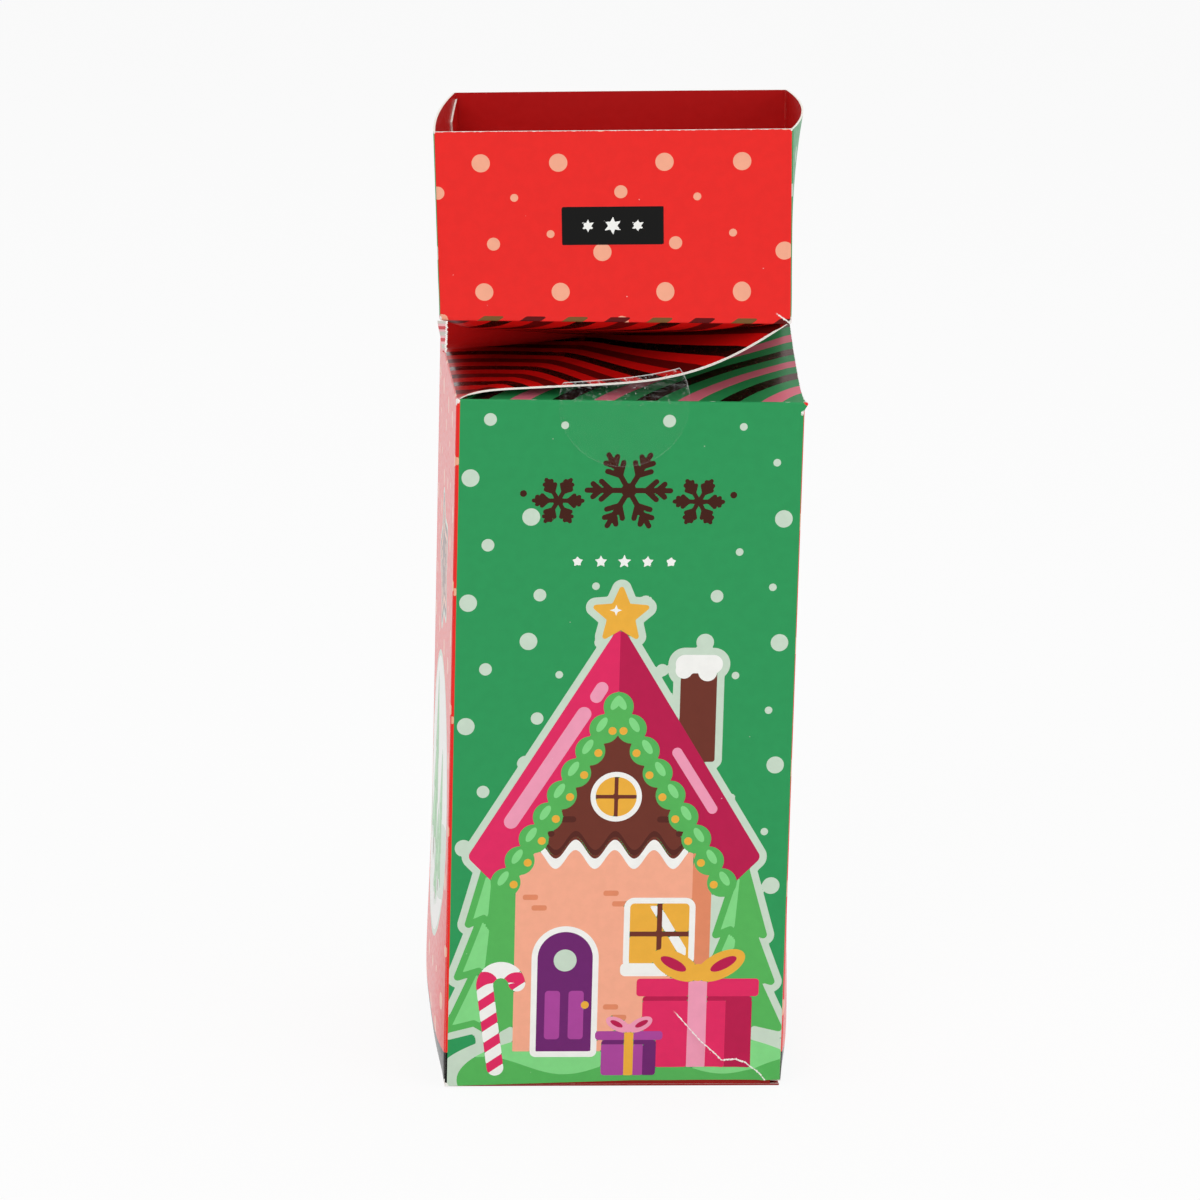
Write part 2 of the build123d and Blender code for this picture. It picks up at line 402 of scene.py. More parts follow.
def boardSheet(name, sheet, materials, body, nodes=()):
    # Two grids, the inner face and the outer face a thickness further along the outward direction,
    # closed by strips of cut edge round the border. The materials are for outer face, inner face and rim.
    inner = sheet["inner"]
    rows, cols = inner.shape[:2]
    outer = inner + sheet["outward"] * np.broadcast_to(sheet["thick"], (rows, cols))[..., None]
    rowPick = sheet.get("innerRows", np.arange(rows))
    colPick = sheet.get("innerCols", np.arange(cols))
    coarse = inner[rowPick][:, colPick]
    points = np.concatenate([outer.reshape(-1, 3), coarse.reshape(-1, 3)]) * mm
    index = np.arange(rows * cols).reshape(rows, cols)
    under = rows * cols + np.arange(len(rowPick) * len(colPick)).reshape(coarse.shape[:2])
    outerFaces = gridFaces(index)
    innerFaces = gridFaces(under)[:, [0, 3, 2, 1]]
    # Each rim face spans one step of the inner border and every outer step beside it
    borders = ((index[0], under[0], colPick),
               (index[:, -1], under[:, -1], rowPick),
               (index[-1, ::-1], under[-1, ::-1], cols - 1 - colPick[::-1]),
               (index[::-1, 0], under[::-1, 0], rows - 1 - rowPick[::-1]))
    rimFaces = []
    for fineLine, coarseLine, pick in borders:
        for step in range(len(pick) - 1):
            span = fineLine[pick[step]:pick[step + 1] + 1]
            rimFaces.append([span[0], coarseLine[step], coarseLine[step + 1], *span[:0:-1]])
    faces = outerFaces.tolist() + innerFaces.tolist() + [[int(i) for i in face] for face in rimFaces]
    kinds = np.repeat([0, 1, 2], [len(outerFaces), len(innerFaces), len(rimFaces)])
    source = np.concatenate([index.ravel(), index[rowPick][:, colPick].ravel()])
    corners = np.concatenate([outerFaces.ravel(), innerFaces.ravel(), np.concatenate(rimFaces)])
    flat = np.stack([sheet["u"], sheet["v"]], -1).reshape(-1, 2) / sheetUnit
    mesh = bpy.data.meshes.new(name)
    mesh.from_pydata(points.tolist(), [], faces)
    for material in materials:
        mesh.materials.append(material)
    mesh.polygons.foreach_set("material_index", np.minimum(kinds, len(materials) - 1).astype(np.int32))
    mesh.polygons.foreach_set("use_smooth", np.ones(len(faces), bool))
    layer = mesh.uv_layers.new(name="flat")
    layer.data.foreach_set("uv", flat[source[corners]].astype(np.float32).ravel())
    for label, values in sheet["marks"].items():
        mark = mesh.attributes.new(label, "FLOAT", "POINT")
        mark.data.foreach_set("value", values.ravel()[source].astype(np.float32))
    mesh.set_sharp_from_angle(angle=0.7)
    mesh.update()
    made = addObject(name, mesh)
    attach(made, body)
    if nodes:
        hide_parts(*nodes)
    return made


foldSet = {"round": 0.35, "steps": 5, "rollSteps": 6, "rollInside": 0.04, "shelter": 0.22}


def wallSheet(side, turn, low, high, rows, cols, rollHigh=False, rollLow=False):
    # A wall of the tube: flat across, then an eighth of a turn round each long fold. A rolled end
    # carries the outside round its crease, about the inner edge, to where the neck's strap begins.
    along, outward = wallAxes(side, turn)
    small = foldSet["round"]
    flatHalf = half - small
    bend = np.radians(np.linspace(0, 45, foldSet["steps"] + 1)[1:])
    bendX = flatHalf + small * np.sin(bend)
    bendDepth = flatHalf + small * np.cos(bend)
    x = np.concatenate([-bendX[::-1], np.linspace(-flatHalf, flatHalf, cols), bendX])
    depth = np.concatenate([bendDepth[::-1], np.full(cols, half), bendDepth])
    turnAway = np.concatenate([-bend[::-1], np.zeros(cols), bend])
    foldAcross = np.sign(turnAway) * (flatHalf + (small + board) * np.abs(turnAway))
    across = np.where(turnAway == 0, x, foldAcross)
    low = np.broadcast_to(low, x.shape)
    high = np.broadcast_to(high, x.shape)
    z = low + np.linspace(0, 1, rows)[:, None] * (high - low)
    tilt = np.zeros(rows)
    rolls = np.linspace(0, strapLean, foldSet["rollSteps"] + 1)[1:]
    if rollHigh:
        z = np.concatenate([z, np.tile(high, (len(rolls), 1))])
        tilt = np.concatenate([tilt, rolls])
    if rollLow:
        z = np.concatenate([np.tile(low, (len(rolls), 1)), z])
        tilt = np.concatenate([-rolls[::-1], tilt])
    tilt = np.tile(tilt[:, None], (1, len(x)))
    face = np.sin(turnAway)[:, None] * along + np.cos(turnAway)[:, None] * outward
    normal = np.cos(tilt)[..., None] * face + np.sin(tilt)[..., None] * up
    rolled = np.where(tilt == 0, 0.0, foldSet["rollInside"])
    inner = x[:, None] * along + depth[:, None] * outward + z[..., None] * up + normal * rolled[..., None]
    u = outerHalf + np.tile(across, (len(z), 1))
    cutAway = z - low if rollHigh else high - z
    foldAway = np.minimum(u, 2 * outerHalf - u) + foldSet["shelter"]     # a fold wears less than a cut
    rim = np.maximum(np.minimum(foldAway, cutAway), 0.0)
    return {"inner": inner, "outward": normal, "thick": board - rolled, "u": u, "v": z + tilt * board,
            "face": outward, "marks": {"rim": rim}}


def coarsen(sheet, step):
    # The hidden inner face keeps every few rows and columns, and all those round folds and creases
    ends = foldSet["steps"] + foldSet["rollSteps"] + 1
    for key, total in zip(("innerRows", "innerCols"), sheet["u"].shape):
        middle = np.arange(ends, total - ends, step)
        sheet[key] = np.concatenate([np.arange(ends), middle, np.arange(total - ends, total)])


def fray(sheet, *spots):
    # Bare fibre round a few worn corners: the rim distance is nothing within each spot's radius
    for x, z, radius in spots:
        away = np.hypot(sheet["u"] - x, sheet["v"] - z)
        sheet["marks"]["rim"] = np.minimum(sheet["marks"]["rim"], np.maximum(away - radius, 0) * 0.8)


def bulge(sheet, amount, shape, power=2):
    # Bows a wall outward: nothing at its long folds, most along its middle
    across = sheet["u"] / outerHalf - 1
    push = amount * (1 - np.clip(across, -1, 1) ** power) * shape
    sheet["inner"] = sheet["inner"] + push[..., None] * sheet["face"]


def spanShare(x, start, end, rise, fall):
    # One between start and end, with a straight slope inside each of them, and nothing beyond
    return np.clip((x - start) / rise, 0, 1) * np.clip((end - x) / fall, 0, 1)


# Print shapes: signed distance in mm on the sheet, negative inside
def union(*shapes):
    return np.minimum.reduce(shapes)


def overlap(*shapes):
    return np.maximum.reduce(shapes)


def wrapped(value, period):
    # Distance from the nearest whole period, with its sign
    return (value + period / 2) % period - period / 2


def disc(x, z, cx, cz, radius):
    return np.hypot(x - cx, z - cz) - radius


def spun(x, z, cx, cz, degrees):
    angle = math.radians(degrees)
    dx, dz = x - cx, z - cz
    return dx * math.cos(angle) + dz * math.sin(angle), dz * math.cos(angle) - dx * math.sin(angle)


def oval(x, z, cx, cz, wide, tall, degrees=0.0):
    dx, dz = spun(x, z, cx, cz, degrees)
    return (np.hypot(dx / wide, dz / tall) - 1) * min(wide, tall)


def slab(x, z, cx, cz, wide, tall, corner=0.0):
    dx = np.abs(x - cx) - wide / 2 + corner
    dz = np.abs(z - cz) - tall / 2 + corner
    return np.hypot(np.maximum(dx, 0), np.maximum(dz, 0)) + np.minimum(np.maximum(dx, dz), 0) - corner


def bar(x, z, x0, z0, x1, z1, radius):
    ex, ez = x1 - x0, z1 - z0
    share = np.clip(((x - x0) * ex + (z - z0) * ez) / (ex * ex + ez * ez), 0, 1)
    return np.hypot(x - x0 - ex * share, z - z0 - ez * share) - radius


def patch(x, z, corners):
    # Nearest edge's distance, with the sign from how often a ray crosses the outline
    edges = []
    sign = np.ones(x.shape)
    for (x0, z0), (x1, z1) in zip(corners, corners[1:] + corners[:1]):
        edges.append(bar(x, z, x0, z0, x1, z1, 0))
        over, under = z >= z0, z < z1
        left = (x1 - x0) * (z - z0) > (z1 - z0) * (x - x0)
        crossed = (over & under & left) | (~over & ~under & ~left)
        sign = np.where(crossed, -sign, sign)
    return sign * union(*edges)


def starCorners(cx, cz, points, outerRadius, innerRadius, degrees=90.0):
    turns = np.radians(degrees + np.arange(2 * points) * 180 / points)
    radii = np.where(np.arange(2 * points) % 2 == 0, outerRadius, innerRadius)
    return list(zip(cx + radii * np.cos(turns), cz + radii * np.sin(turns)))


def star(x, z, *corners):
    return patch(x, z, starCorners(*corners))


def scatter(shape, x, z, spots):
    # One shape at every spot
    return union(*[shape(x, z, *spot) for spot in spots])


def flake(x, z, cx, cz, radius, line):
    # Six arms: the angle is folded into one arm, which is a bar with two pairs of side bars
    folded = np.abs(wrapped(np.arctan2(z - cz, x - cx), math.pi / 3))
    far = np.hypot(x - cx, z - cz)
    px, pz = far * np.cos(folded), far * np.sin(folded)
    arms = np.array([(0, 0, 1, 0), (0.42, 0, 0.66, 0.22), (0.68, 0, 0.86, 0.16)]) * radius
    return scatter(bar, px, pz, [(*arm, line) for arm in arms])


def newPrint(sheet):
    return {"x": sheet["u"], "z": sheet["v"], "inks": {}}


def paint(art, inkName, shape):
    # Later ink hides earlier ink: cut the shape out of the other inks, then add it to its own
    inks = art["inks"]
    for other in inks:
        inks[other] = overlap(inks[other], -shape)
    if inkName:
        inks[inkName] = union(inks[inkName], shape) if inkName in inks else shape


def inkMarks(sheet, art):
    for inkName, shape in art["inks"].items():
        sheet["marks"]["ink_" + inkName] = np.clip(shape, -4, 4)
    return list(art["inks"])


# Polka dots: one tile of seven dots, repeated. x and z from a big dot, then the radius, in mm.
dotTile = {"wide": 41.0, "tall": 29.4, "dots": [
    (0.0, 0.0, 2.05), (17.3, 0.0, 2.05), (26.9, -20.4, 2.05), (31.2, -6.7, 1.48), (2.4, -18.4, 1.48),
    (7.3, -7.9, 0.9), (15.3, -16.2, 0.9)]}


def polkaDots(art, inkName, startX, startZ):
    dots = []
    for dx, dz, radius in dotTile["dots"]:
        px = wrapped(art["x"] - startX - dx, dotTile["wide"])
        pz = wrapped(art["z"] - startZ - dz, dotTile["tall"])
        dots.append(np.hypot(px, pz) - radius)
    paint(art, inkName, union(*dots))


# Stickers: each gives its strokes, as (ink, shape) in painting order, and its silhouette
def giftBox(x, z, left, right, low, high, inks):
    paper, shade, ribbon, bow = inks
    middle, wide = (left + right) / 2, right - left
    lid, size = (high - low) * 0.2, wide * 0.24
    body = slab(x, z, middle, (low + high - lid) / 2, wide, high - lid - low, 0.8)
    whole = union(body, slab(x, z, middle, high - lid / 2, wide + 3, lid, 0.8))
    band = overlap(whole, np.abs(x - middle) - wide * 0.085)

    def pair(out, rise, long, thin):
        # Two ovals, one on each side of the knot
        return scatter(oval, x, z, [(middle + sign * size * out, high + size * rise, size * long,
                                     size * thin, 28 * sign) for sign in (-1, 1)])

    loops = pair(0.85, 0.52, 1.0, 0.5)
    hollows = pair(0.95, 0.58, 0.55, 0.2)
    knot = oval(x, z, middle, high + size * 0.24, size * 0.3, size * 0.34)
    strokes = [(paper, whole), (shade, overlap(body, right - wide * 0.24 - x)),
               (shade, overlap(body, high - lid - 1.1 - z)), (ribbon, band), (bow, loops),
               ("deepPink", hollows), (bow, knot)]
    return strokes, union(whole, loops)


def bauble(x, z, cx, cz, radius):
    ball = disc(x, z, cx, cz, radius)
    cap = slab(x, z, cx, cz + radius + 0.9, radius * 0.42, radius * 0.24, 0.5)
    ring = np.abs(disc(x, z, cx, cz + radius * 1.24, radius * 0.13)) - radius * 0.045
    wave = z - cz + 0.12 * radius - 0.25 * radius * ((x - cx) / radius) ** 2
    band = overlap(ball + 0.02, np.abs(wave) - radius * 0.24)
    beads = np.hypot(wrapped(x - cx, radius * 0.5), wave) - radius * 0.1
    gleam = oval(x, z, cx - radius * 0.3, cz + radius * 0.52, radius * 0.5, radius * 0.27, 28)
    spark = oval(x, z, cx - radius * 0.42, cz + radius * 0.6, radius * 0.2, radius * 0.08, 34)
    shadow = overlap(ball, -disc(x, z, cx - radius * 0.16, cz + radius * 0.12, radius * 1.02))
    strokes = [("hotPink", ball), ("deepPink", shadow), ("lightPink", overlap(gleam, ball + radius * 0.08)),
               ("white", spark), ("midGreen", band), ("lightGreen", overlap(band, beads)),
               ("gold", union(cap, ring))]
    return strokes, union(ball, cap, ring)


def firTree(x, z, cx, foot, wide, tall):
    # Three tiers from the foot up, each hiding the light side of the one below
    tiers = []
    lights = np.full(x.shape, 9.0)
    for low, high, share in ((0.12, 0.56, 1.0), (0.36, 0.78, 0.78), (0.6, 1.0, 0.56)):
        base, top, reach = foot + low * tall, foot + high * tall, wide * share / 2
        hem = base + 0.03 * tall
        tier = patch(x, z, [(cx - reach, base), (cx - reach * 0.4, hem), (cx, base - 0.015 * tall),
                            (cx + reach * 0.4, hem), (cx + reach, base), (cx, top)]) - 0.9
        lightSide = x - cx + 0.25 * reach * (1 - (z - base) / (top - base))
        lights = union(np.where(tier < 0, 9.0, lights), overlap(tier + 1.6, lightSide))
        tiers.append(tier)
    trunk = slab(x, z, cx, foot + 0.07 * tall, wide * 0.15, tall * 0.14, 0.4)
    return [("brown", trunk), ("midGreen", union(*tiers)), ("lightGreen", lights)], union(trunk, *tiers)


def candyCane(x, z, cx, low, high, reach, thick, degrees):
    # A stick, half a ring on top of it and a round tip. The wrap runs along the stick and the ring.
    px, pz = spun(x, z, cx, low, degrees)
    rise = pz - high + low
    stick = bar(px, pz, 0, 0, 0, high - low, thick)
    crook = np.where(rise > 0, np.abs(np.hypot(px + reach, rise) - reach) - thick, 99.0)
    whole = union(stick, crook, disc(px, pz, -2 * reach, high - low, thick))
    run = np.where(rise > 0, reach * np.arctan2(rise, px + reach), rise) + px * 0.5
    wrap = np.abs(wrapped(run - thick * 0.9, thick * 2.6)) - thick * 0.62
    return [("white", whole), ("hotPink", overlap(whole, wrap))], whole


def spiceStar(x, z, cx, cz, radius, degrees):
    shape = star(x, z, cx, cz, 5, radius, radius * 0.6, degrees) - radius * 0.12
    icing = np.abs(shape + radius * 0.17) - radius * 0.045
    places = starCorners(cx, cz, 5, radius * 0.55, radius * 0.55, degrees)[::2] + [(cx, cz)]
    beads = scatter(disc, x, z, [(*place, radius * 0.085) for place in places])
    return [("brown", shape), ("peach", union(icing, beads))], shape


def hollySprig(x, z, cx, cz, size):
    leaves, veins = [], []
    for degrees in (28, 152):
        px, pz = spun(x, z, cx, cz, degrees)
        px = px - size * 1.05
        edge = size * 0.46 * (1 - (px / size) ** 2) * (0.86 + 0.16 * np.cos(px / size * 9.4))
        leaves.append(overlap(np.abs(pz) - np.maximum(edge, 0), np.abs(px) - size))
        veins.append(bar(px, pz, -size * 0.8, 0, size * 0.75, 0, size * 0.035))
    spots = np.array([(-0.24, 0.05), (0.24, 0.08), (0.0, -0.26)]) * size + (cx, cz)
    berries = scatter(disc, x, z, [(*spot, size * 0.27) for spot in spots])
    sparks = scatter(disc, x, z, [(bx - 0.08 * size, bz + 0.09 * size, size * 0.07) for bx, bz in spots])
    strokes = [("pineGreen", union(*leaves)), ("lightGreen", union(*veins)), ("hotPink", berries),
               ("white", sparks)]
    return strokes, union(*leaves, berries)


house = {
    "middle": 39.0, "shadeFrom": 57.5, "roofRound": 1.6, "frame": 1.4, "glazing": 0.6,
    "walls": [(16, 9), (62, 9), (62, 58), (39, 95), (16, 58)],
    "roof": [(6.5, 57), (39, 110), (71.5, 57), (65, 50.5), (39, 92.5), (13, 50.5)],
    "gleams": [(14.6, 65.4, 31.0, 91.4, 1.7), (33.8, 95.6, 35.0, 97.6, 1.5), (61.6, 68.6, 53.0, 82.2, 1.2)],
    "chimney": (57.5, 92, 8.5, 24, 0.6), "snow": (57.5, 103.5, 11, 4.4, 2.2),
    "drips": [(54, 102, 2.0), (59.5, 101.6, 2.2)],
    "waveLevel": 57.5, "waveHeight": 2.3, "waveLength": 9.2,
    "garlandFoot": (13.6, 50.6), "garlandTop": (39.0, 93.2), "clumps": 9,
    "door": (28, 20.5, 13, 23), "doorArch": (28, 32, 6.5), "doorGlass": (28, 31.5, 2.7),
    "doorPanels": [(25.2, 18, 3.6, 12, 0.8), (30.8, 18, 3.6, 12, 0.8)], "knob": (32.9, 20.5, 0.95),
    "pane": (50, 38, 14, 15, 1.0), "sill": (50, 29.2, 18, 3.2, 1.2), "port": (39, 71.5, 6.0),
    "crumb": (4.6, 1.5, 0.7),
    "crumbs": [(27.5, 66), (51, 66), (31, 81.5), (47.5, 81), (22.5, 62.5), (55.5, 62.5)],
    "brick": (3.6, 1.3, 0.5),
    "bricks": [(19.5, 47), (21.6, 44.4), (38.4, 48), (40.5, 45.4), (39.0, 20), (41.0, 17.4)]}


def biscuitHouse(x, z):
    # Seen from its gable. The garland is drawn on the left half and mirrored.
    middle = house["middle"]
    walls = patch(x, z, house["walls"])
    roof = patch(x, z, house["roof"]) - house["roofRound"]
    chimney = slab(x, z, *house["chimney"])
    snow = union(slab(x, z, *house["snow"]), scatter(disc, x, z, house["drips"]))
    # Wavy foot of the gable, with an icing line along it
    turns = (x - middle) * 2 * math.pi / house["waveLength"]
    wave = z - house["waveLevel"] - house["waveHeight"] * np.cos(turns)
    gable = overlap(walls, -wave * 0.7)
    icing = overlap(walls, np.abs(wave * 0.6) - 0.75)
    # Overlapping leaf clumps along the roof's lower edge
    fold = middle - np.abs(x - middle)
    clumps = np.linspace(house["garlandFoot"], house["garlandTop"], house["clumps"])
    garland = scatter(disc, fold, z, [(px, pz, 3.5) for px, pz in clumps])
    leafLight = scatter(oval, fold, z, [(px - 0.6, pz + 1.0, 2.0, 0.9, 58) for px, pz in clumps])
    beads = scatter(disc, fold, z, [(px + 1.9, pz - 0.5, 0.95) for px, pz in clumps])
    door = union(slab(x, z, *house["door"]), disc(x, z, *house["doorArch"]))
    doorPanels = overlap(door, scatter(slab, x, z, house["doorPanels"]))
    pane = slab(x, z, *house["pane"])
    paneX, paneZ = house["pane"][:2]
    bars = union(np.abs(x - paneX), np.abs(z - paneZ)) - house["glazing"]
    glint = overlap(pane + 0.6, np.abs(x - paneX + (z - paneZ) * 0.6 - 3) - 1.3)
    port = disc(x, z, *house["port"])
    portGlass = port + 1.2
    portBars = union(np.abs(x - middle), np.abs(z - house["port"][1])) - 0.45
    crumbs = scatter(slab, x, z, [(*spot, *house["crumb"]) for spot in house["crumbs"]])
    bricks = scatter(slab, x, z, [(*spot, *house["brick"]) for spot in house["bricks"]])
    gleams = scatter(bar, x, z, house["gleams"])
    strokes = [
        ("brown", chimney), ("white", snow), ("peach", walls),
        ("tan", overlap(walls, house["shadeFrom"] - x)), ("tan", bricks), ("brown", gable),
        ("umber", overlap(gable, 2.0 - np.abs(wave))), ("brown", overlap(gable, 3.4 - np.abs(wave))),
        ("umber", crumbs), ("white", icing), ("hotPink", roof), ("deepPink", overlap(roof, middle - x)),
        ("lightPink", gleams), ("midGreen", garland), ("lightGreen", leafLight), ("gold", beads),
        ("white", port), ("gold", portGlass), ("brown", overlap(portGlass, portBars)),
        ("white", door - house["frame"]), ("purple", door), ("plum", doorPanels),
        ("mint", disc(x, z, *house["doorGlass"])), ("gold", disc(x, z, *house["knob"])),
        ("white", pane - house["frame"]), ("gold", pane), ("white", glint), ("brown", overlap(pane, bars)),
        ("white", slab(x, z, *house["sill"]))]
    return strokes, union(walls, roof, chimney, snow)


def stickers(art, pieces, outline):
    # One pale outline round the whole heap, then each piece over the last
    paint(art, "mint", union(*[silhouette for strokes, silhouette in pieces]) - outline)
    for strokes, silhouette in pieces:
        for inkName, shape in strokes:
            paint(art, inkName, shape)


# Body front: dots, foil snowflakes over a row of stars, below them a biscuit house with firs and parcels.
# Its left fold shows a line of the red side, and its right upper corner is chipped.
front = {"rows": 440, "cols": 202, "innerStep": 6, "footLeft": 0.35, "footRight": 1.75, "footShare": 1.8,
         "dotX": -23.3, "dotLift": 2.5, "clearings": [(39.6, 149.2, 50, 16.4, 4), (42.6, 133.0, 44, 20, 4)],
         "flakes": [(40, 144.5, 9.6, 0.62), (23.8, 142.0, 5.6, 0.5), (56.2, 142.0, 5.6, 0.5)],
         "foilDots": [(40, 144.5, 1.7), (15.8, 143.6, 0.8), (64.2, 143.6, 0.8)],
         "stars": (39.4, 127.7), "starStep": 5.4, "ground": (45, 2, 42, 13), "outline": 1.7,
         "foldInk": 0.75, "foldLean": 0.15, "foldDots": (151.0, 120.3, 89.8), "foldDot": 0.9,
         "darkFoot": 8.7, "cleanFoot": 4.0, "chip": 1.0, "chipOut": 0.4, "chipWide": 3.5, "chipTall": 1.7}
# A bent line at the lower right where the board has cracked: points along it, then the buckle beside it
dent = {"line": [(54.0, 19.0), (60.4, 11.8), (64.0, 8.6), (65.7, 6.9), (68.8, 7.2), (71.2, 6.4),
                 (74.8, 3.6), (77.2, 0.4)],
        "end": 78.0, "push": 0.2, "pushRun": 3.0, "ridge": 0.7, "ridgeRun": 1.6}
footShare = np.linspace(0, 1, front["cols"] + 2 * foldSet["steps"]) * front["footShare"]
foot = front["footLeft"] + (front["footRight"] - front["footLeft"]) * np.minimum(footShare, 1)
sheet = wallSheet(0, 0, foot, creaseZ, front["rows"], front["cols"], rollHigh=True)
coarsen(sheet, front["innerStep"])
x, z = sheet["u"], sheet["v"]
art = newPrint(sheet)
polkaDots(art, "mint", front["dotX"], creaseZ + front["dotLift"])
paint(art, None, scatter(slab, x, z, front["clearings"]))
paint(art, "foil", union(scatter(flake, x, z, front["flakes"]), scatter(disc, x, z, front["foilDots"])))
starX, starZ = front["stars"]
starRow = [(starX + step * front["starStep"], starZ, 5, 1.75 - 0.2 * abs(step), 0.75)
           for step in range(-2, 3)]
paint(art, "white", scatter(star, x, z, starRow))
ground = oval(x, z, *front["ground"])
grass = overlap(ground, z - 5.5 - 2.2 * np.sin(x / 6))
topStar = star(x, z, 39, 115, 5, 6.2, 2.8) - 0.6
stickers(art, [
    ([("lightGreen", ground), ("midGreen", grass)], ground),
    firTree(x, z, 11.0, 8, 21, 54),
    firTree(x, z, 69.0, 9, 20, 48),
    biscuitHouse(x, z),
    ([("gold", topStar), ("white", star(x, z, 37.8, 116.2, 4, 1.5, 0.5))], topStar),
    giftBox(x, z, 46.5, 72.5, 5.0, 27.0, ("hotPink", "deepPink", "lightPink", "gold")),
    giftBox(x, z, 37.0, 50.0, 3.0, 14.0, ("plum", "purple", "gold", "lightPink")),
    candyCane(-x, z, -12.0, 5.0, 25.0, 3.8, 2.0, -8),
], front["outline"])
foldLine = x - front["foldInk"] - front["foldLean"] * z / creaseZ
paint(art, "red", foldLine)
for level in front["foldDots"]:
    paint(art, "peach", overlap(disc(x, z, 0.5, level, front["foldDot"]), foldLine))
paint(art, "black", overlap(foldLine, z - front["darkFoot"]))
paint(art, "red", disc(x, z, 80.1, creaseZ + 0.6, 1.0))
# Near the foot only the left fold wears
sheet["marks"]["rim"] = np.where(z < front["cleanFoot"], x + 0.3, sheet["marks"]["rim"])
fray(sheet, (0.2, creaseZ, 0.6), (79.6, creaseZ - 2.1, 0.5), (0.2, 0.4, 0.9))
lineX, lineZ = np.array(dent["line"]).T
beyond = np.interp(x, lineX, lineZ) - z
sheet["marks"]["crack"] = beyond * 0.72
sheet["marks"]["crackSpan"] = spanShare(x, lineX[0], lineX[-1] + 0.4, 1.2, 0.4)
chip = np.clip((x - 2 * outerHalf + front["chipWide"]) / front["chipWide"], 0, 1) ** 2
chip = chip * np.clip((z - creaseZ + front["chipTall"]) / front["chipTall"], 0, 1)
buckle = dent["ridge"] * np.exp(-np.abs(beyond) / dent["ridgeRun"])
buckle = buckle - dent["push"] * np.clip(beyond / dent["pushRun"], 0, 1)
buckle = buckle * spanShare(x, lineX[0], dent["end"], 6, 3)
sheet["inner"] = sheet["inner"] + chip[..., None] * np.array([front["chip"], -front["chipOut"], 0.0])
sheet["inner"] = sheet["inner"] + buckle[..., None] * sheet["face"]
used = inkMarks(sheet, art)
frontPrint = printedBoard("frontPrint", "green", used, cracked=True)
boardSheet("body_front_sheet", sheet, [frontPrint, insideBoard, cutEdge], "carton",
           ["body_front_panel"])
print("front panel made,", len(used), "inks")

# Body sides and back: dots round a winter scene, an ornament above it and a dark foot. A wall's three
# sizes are its foot, a bow all the way up, and a bow low down, where the tuck end's flaps press it out.
sides = {"rows": 320, "cols": 156, "innerStep": 6, "scene": (40.0, 61.0, 33.0), "sceneRim": 1.5,
         "farHill": (56, 5, 5.2), "nearHill": (42, 3, 8), "outline": 1.3,
         "dotX": (14.0, 19.0, 47.5), "dotDrop": 7.3, "footRise": 3.5, "footFall": 45.0,
         "walls": ((1, "right", "red", "peach", 1.35, 0.4, 3.4),
                   (2, "back", "green", "mint", 0.6, 0.6, 0.6),
                   (3, "left", "red", "peach", 1.35, 0.1, 2.0))}


def hill(x, z, level, height, waves, start):
    return (z - level - height * np.sin(x / 80 * waves + start)) * 0.92


for side, name, base, dotInk, low, bow, footBow in sides["walls"]:
    sheet = wallSheet(side, 0, low, creaseZ, sides["rows"], sides["cols"], rollHigh=True)
    coarsen(sheet, sides["innerStep"])
    x, z = sheet["u"], sheet["v"]
    bulge(sheet, bow, np.sin(math.pi * np.clip(z / creaseZ, 0, 1) ** 0.8))
    # A quick rise above the foot, then a slow fall
    rise = 1 - np.exp(-np.maximum(z - low, 0) / sides["footRise"])
    bulge(sheet, footBow, rise * np.exp(-(z / sides["footFall"]) ** 2), 4)
    fray(sheet, (0, creaseZ, 0.6), (2 * outerHalf, creaseZ, 1.2), (0, low, 0.5), (2 * outerHalf, low, 0.8))
    art = newPrint(sheet)
    polkaDots(art, dotInk, sides["dotX"][side - 1], creaseZ - sides["dotDrop"])
    # A white sky, a pale far hill and a near one of snow, all within the round rim
    rim = disc(x, z, *sides["scene"])
    hills = [("white", rim), ("mint", overlap(rim, hill(x, z, *sides["farHill"], side))),
             ("white", overlap(rim, hill(x, z, *sides["nearHill"], 2 * side)))]
    stickers(art, [(hills, rim)], sides["sceneRim"])
    pieces = [firTree(x, z, 22 + 2 * side, 42, 21, 44), firTree(x, z, 58 - 2 * side, 40, 16, 33),
              firTree(x, z, 43, 35, 11, 22)]
    if name == "back":
        paint(art, "mint", overlap(np.abs(x - 40) - 0.5, 140 - z))
        pieces += [bauble(x, z, 40, 119, 20), hollySprig(x, z, 40, 148, 7)]
    else:
        pieces.append(spiceStar(x, z, 40, 118, 15, 90 + 6 * side))
    stickers(art, pieces, sides["outline"])
    paint(art, "black", z - front["darkFoot"])
    printed = printedBoard(name + "Print", base, inkMarks(sheet, art), coat=boardFinish["sideCoat"])
    boardSheet(f"body_{name}_sheet", sheet, [printed, insideBoard, cutEdge], "carton",
               [f"body_{name}_panel"])
print("body sides made")

